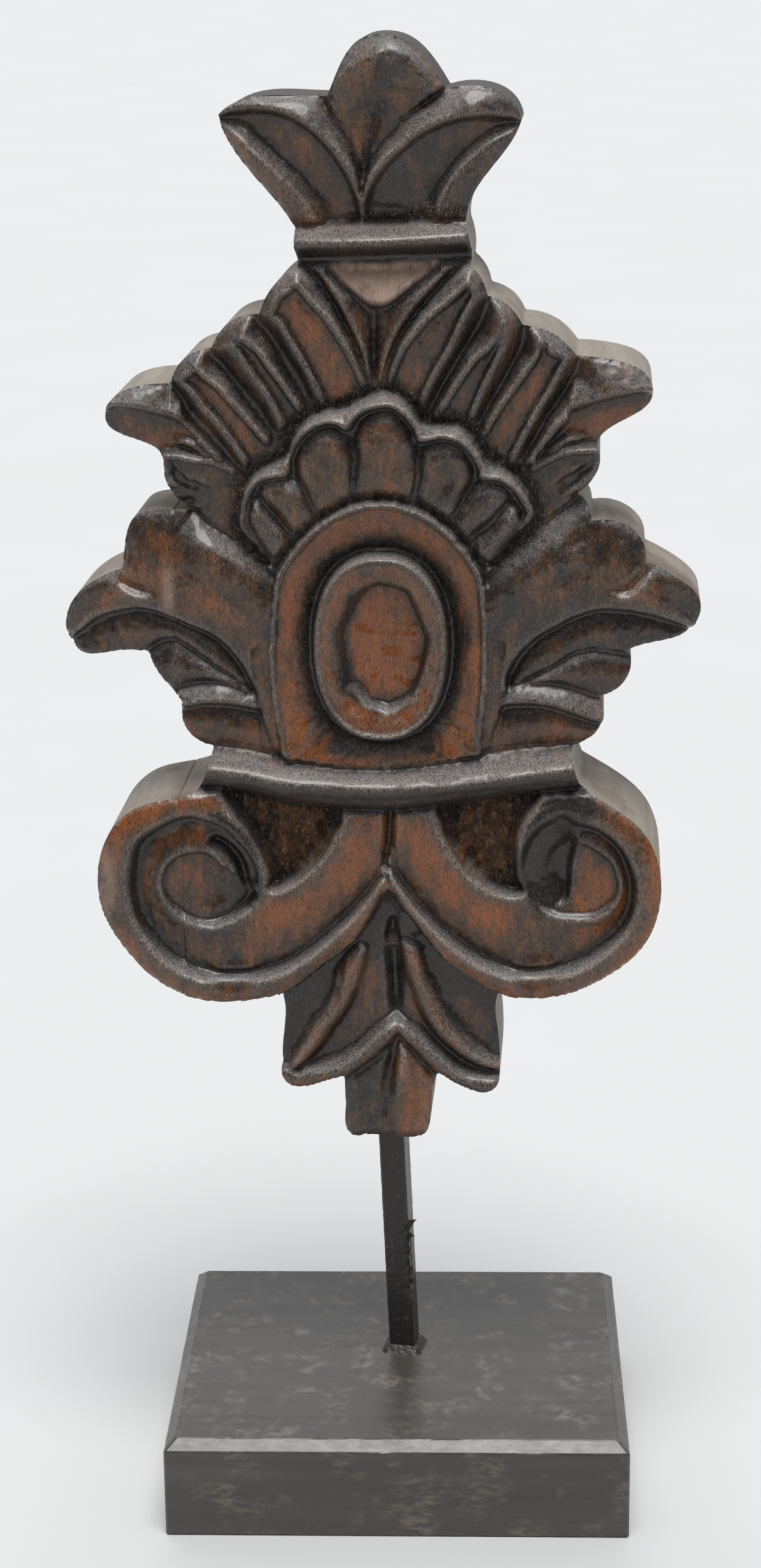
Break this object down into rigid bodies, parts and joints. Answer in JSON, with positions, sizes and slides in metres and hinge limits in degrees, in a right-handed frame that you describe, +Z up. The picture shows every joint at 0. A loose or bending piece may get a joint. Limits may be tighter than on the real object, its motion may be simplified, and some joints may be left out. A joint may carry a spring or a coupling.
{
  "type": "carved wooden finial on stand",
  "caption": "Relief-carved, fret-sawn wooden finial panel with a crown, leaf wings, an arch and two scrolls, held on a square stick that stands in a chamfered wooden block.",
  "frame": {"origin": "centre of the base block's underside, on the surface that the stand rests on", "axes": "+Z up through the post and panel, the carved face towards -Y, +X to the right of a person facing the carving"},
  "size_m": [0.1347, 0.0852, 0.3124],
  "materials": {
    "base_wood": "worn dark stain, satin",
    "post_wood": "dark stain over splintery bare wood",
    "glue": "dried dark glue crust",
    "carved_wood": "dark stain rubbed brown on the high places, satin"
  },
  "bodies": {
    "root": {"base_block": "base_wood", "post": "post_wood", "foot_glue_bead": "glue", "main_board": "carved_wood", "left_top_wing": "carved_wood", "left_middle_wing": "carved_wood", "left_scroll": "carved_wood"}
  },
  "joints": []
}
